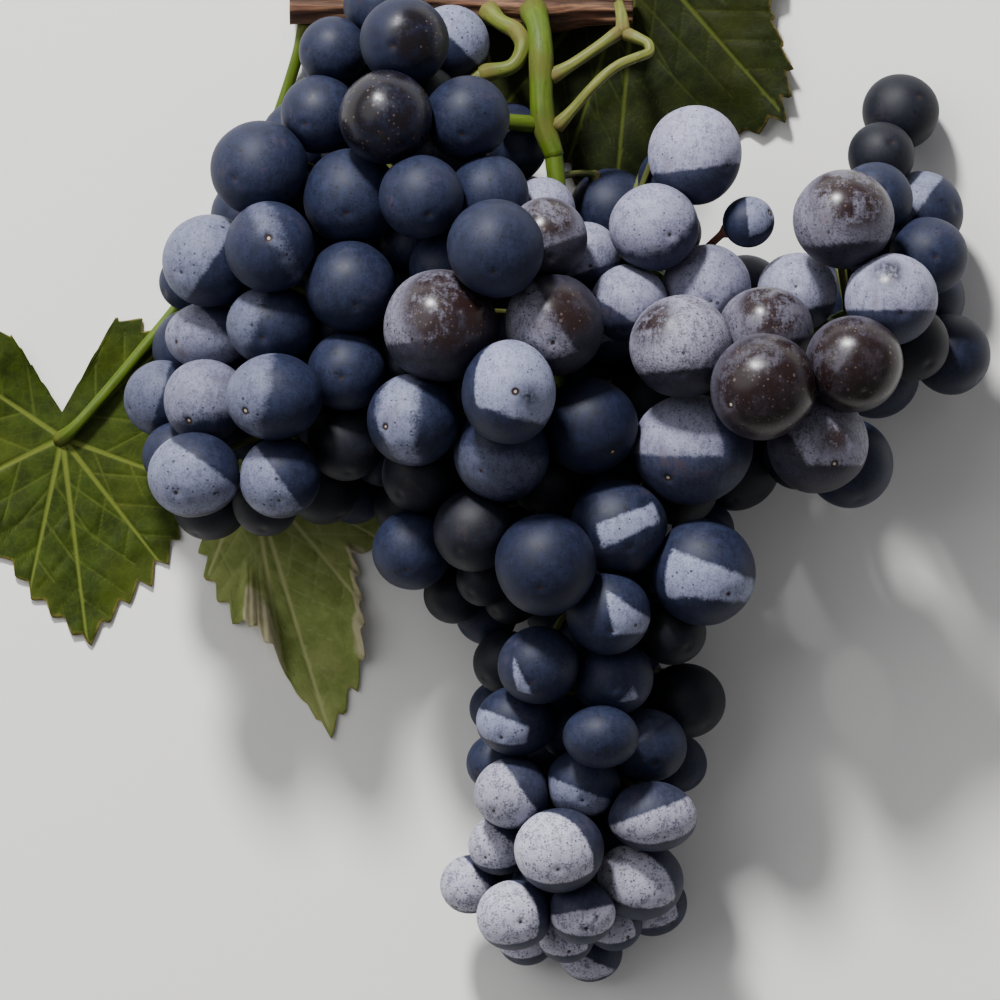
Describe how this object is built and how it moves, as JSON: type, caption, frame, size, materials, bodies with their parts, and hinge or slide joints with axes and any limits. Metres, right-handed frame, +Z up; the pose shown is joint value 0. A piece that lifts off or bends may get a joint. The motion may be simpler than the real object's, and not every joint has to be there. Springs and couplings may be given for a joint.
{
  "type": "cut grape bunch with leaves",
  "caption": "Cut winged bunch of dark grapes lying on its back, with its green stalk, forked tendril, a short piece of cane and vine leaves spread under it.",
  "frame": {"origin": "middle of the bounding box, at the level that the bunch rests on", "axes": "+Y from the tail's tip to the stalk and cane, +X to the right wing, +Z up from the surface that the bunch lies on"},
  "size_m": [0.2032, 0.2198, 0.0666],
  "materials": {
    "berry_skin": "waxy bloom over dark skin",
    "green_stem": "satin",
    "tendril_skin": "satin",
    "cane_bark": "matt bark",
    "leaf_blade": "matt"
  },
  "bodies": {
    "root": {"berries_centre_largest": "berry_skin", "berries_centre_left": "berry_skin", "berries_centre_low_left": "berry_skin", "berries_centre_low_right": "berry_skin", "berries_centre_middle": "berry_skin", "berries_centre_right": "berry_skin", "berries_centre_right_behind": "berry_skin", "berries_centre_top": "berry_skin", "berries_hidden_1": "berry_skin", "berries_hidden_2": "berry_skin", "berries_hidden_3": "berry_skin", "berries_hidden_4": "berry_skin", "berries_hidden_5": "berry_skin", "berries_left_wing_brow": "berry_skin", "berries_left_wing_edge": "berry_skin", "berries_left_wing_far": "berry_skin", "berries_left_wing_inner": "berry_skin", "berries_left_wing_middle": "berry_skin", "berries_left_wing_tip": "berry_skin", "berries_left_wing_top": "berry_skin", "berries_left_wing_under": "berry_skin", "berries_right_wing_brow": "berry_skin", "berries_right_wing_far": "berry_skin", "berries_right_wing_foot": "berry_skin", "berries_right_wing_front": "berry_skin", "berries_right_wing_inner": "berry_skin", "berries_right_wing_rise": "berry_skin", "berries_right_wing_top": "berry_skin", "berries_tail_belly": "berry_skin", "berries_tail_end": "berry_skin", "berries_tail_left": "berry_skin", "berries_tail_left_behind": "berry_skin", "berries_tail_middle": "berry_skin", "berries_tail_right": "berry_skin", "berries_tail_right_behind": "berry_skin", "berries_waist_front": "berry_skin", "berries_waist_left": "berry_skin", "berries_waist_low": "berry_skin", "berries_waist_right": "berry_skin", "berry_lone": "berry_skin", "cane": "cane_bark", "left_leaf": "leaf_blade", "left_leaf_petiole": "green_stem", "left_wing_loop": "green_stem", "left_wing_stalk": "green_stem", "low_leaf": "leaf_blade", "low_leaf_petiole": "green_stem", "main_stalk": "green_stem", "rachis_lower": "green_stem", "rachis_upper": "green_stem", "right_wing_stalk": "green_stem", "stalk_stub": "green_stem", "tendril_hook": "tendril_skin", "tendril_lower_arm": "tendril_skin", "tendril_riser": "tendril_skin", "tendril_upper_arm": "tendril_skin", "top_leaf": "leaf_blade", "top_leaf_petiole": "green_stem"}
  },
  "joints": []
}
